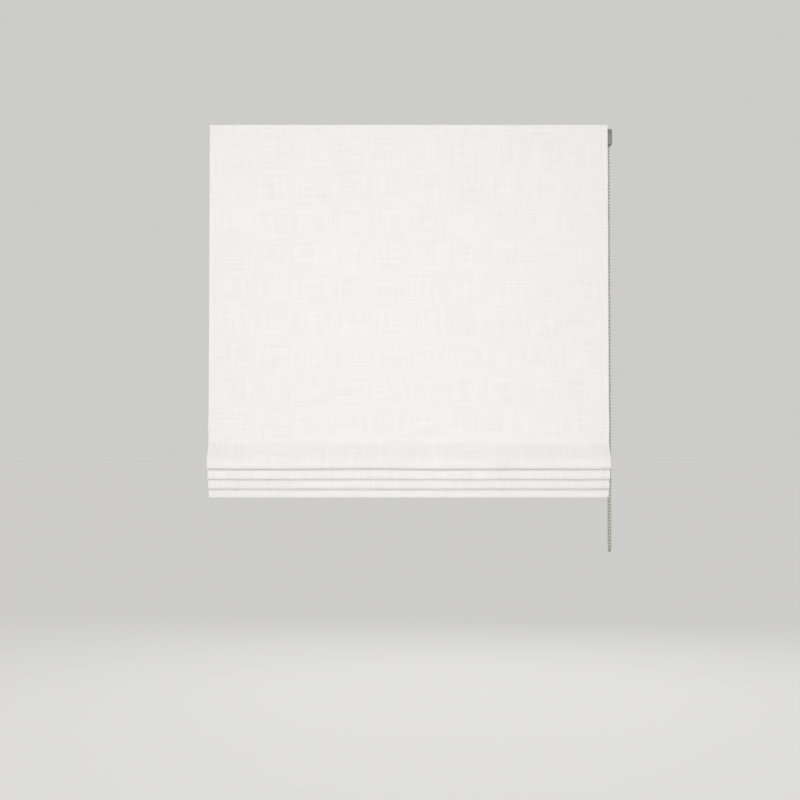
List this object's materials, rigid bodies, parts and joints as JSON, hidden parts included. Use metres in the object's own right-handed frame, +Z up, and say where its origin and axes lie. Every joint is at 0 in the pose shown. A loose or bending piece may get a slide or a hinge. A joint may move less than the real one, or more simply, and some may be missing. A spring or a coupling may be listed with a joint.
{
  "type": "roman blind",
  "caption": "Flat roman blind in off-white slubby linen, part raised into stacked folds above its hem, on a clip-fixed head rail with a bead chain loop at the right.",
  "frame": {"origin": "on the ceiling plane of the brackets, midway between their two screw holes", "axes": "+X across the window to the viewer's right, +Y into the window, +Z up"},
  "size_m": [0.749, 0.0642, 0.7953],
  "materials": {
    "cloth": "slubby linen weave, off-white",
    "tape": "woven tape, white",
    "strip": "hook and loop strip, white",
    "braid": "braided cord, white",
    "rail_paint": "white powder coat",
    "bar_aluminium": "mill finish",
    "steel": "zinc plated",
    "white_plastic": "moulded, satin white",
    "grey_plastic": "moulded, dark grey",
    "bead_plastic": "moulded beads, grey ivory",
    "rod_fibre": "pultruded glass fibre rod"
  },
  "bodies": {
    "head": {"head_rail": "rail_paint", "hook_strip": "strip", "loop_strip": "strip", "bracket_left": "steel", "bracket_right": "steel", "end_cap": "white_plastic", "control_housing": "grey_plastic", "control_cover": "grey_plastic", "brake_spring": "steel", "shade_cloth": "cloth", "bead_chain": "bead_plastic", "drum_cradle_left": "white_plastic", "lift_cord_left": "braid", "drum_cradle_middle": "white_plastic", "lift_cord_middle": "braid", "drum_cradle_right": "white_plastic", "lift_cord_right": "braid"},
    "drive": {"drive_shaft": "steel", "drive_core": "grey_plastic", "chain_wheel": "grey_plastic", "cord_drum_left": "white_plastic", "cord_drum_middle": "white_plastic", "cord_drum_right": "white_plastic"},
    "bundle": {"rod_5": "rod_fibre", "rod_pocket_5": "tape", "cord_eyelets_5": "white_plastic", "rod_6": "rod_fibre", "rod_pocket_6": "tape", "cord_eyelets_6": "white_plastic", "rod_7": "rod_fibre", "rod_pocket_7": "tape", "cord_eyelets_7": "white_plastic", "rod_8": "rod_fibre", "rod_pocket_8": "tape", "cord_eyelets_8": "white_plastic", "hem_bar": "bar_aluminium", "cord_lock_left": "white_plastic", "cord_lock_middle": "white_plastic", "cord_lock_right": "white_plastic"},
    "first_rod": {"rod_1": "rod_fibre", "rod_pocket_1": "tape", "cord_eyelets_1": "white_plastic"},
    "second_rod": {"rod_2": "rod_fibre", "rod_pocket_2": "tape", "cord_eyelets_2": "white_plastic"},
    "third_rod": {"rod_3": "rod_fibre", "rod_pocket_3": "tape", "cord_eyelets_3": "white_plastic"},
    "fourth_rod": {"rod_4": "rod_fibre", "rod_pocket_4": "tape", "cord_eyelets_4": "white_plastic"}
  },
  "joints": [
    {"name": "blind_lift", "type": "slide", "parent": "head", "child": "bundle", "axis": [0, 0, 1], "range_m": [0, 0.45239], "deforming": ["shade_cloth", "lift_cord_left", "lift_cord_middle", "lift_cord_right"]},
    {"name": "first_rod_lift", "type": "slide", "parent": "head", "child": "first_rod", "axis": [0, 0, 1], "range_m": [0, 0.0905]},
    {"name": "second_rod_lift", "type": "slide", "parent": "head", "child": "second_rod", "axis": [0, 0, 1], "range_m": [0, 0.181]},
    {"name": "third_rod_lift", "type": "slide", "parent": "head", "child": "third_rod", "axis": [0, 0, 1], "range_m": [0, 0.2715]},
    {"name": "fourth_rod_lift", "type": "slide", "parent": "head", "child": "fourth_rod", "axis": [0, 0, 1], "range_m": [0, 0.362]},
    {"name": "drum_turn", "type": "hinge", "parent": "head", "child": "drive", "pos_m": [0, 0, -0.02], "axis": [-1, 0, 0], "range_deg": [0, 3240.5], "deforming": ["bead_chain"]}
  ],
  "couplings": [
    {"joint": "first_rod_lift", "follows": "blind_lift", "ratio": 0.2},
    {"joint": "second_rod_lift", "follows": "blind_lift", "ratio": 0.4},
    {"joint": "third_rod_lift", "follows": "blind_lift", "ratio": 0.6},
    {"joint": "fourth_rod_lift", "follows": "blind_lift", "ratio": 0.8},
    {"joint": "drum_turn", "follows": "blind_lift", "rad_per_m": 125}
  ]
}
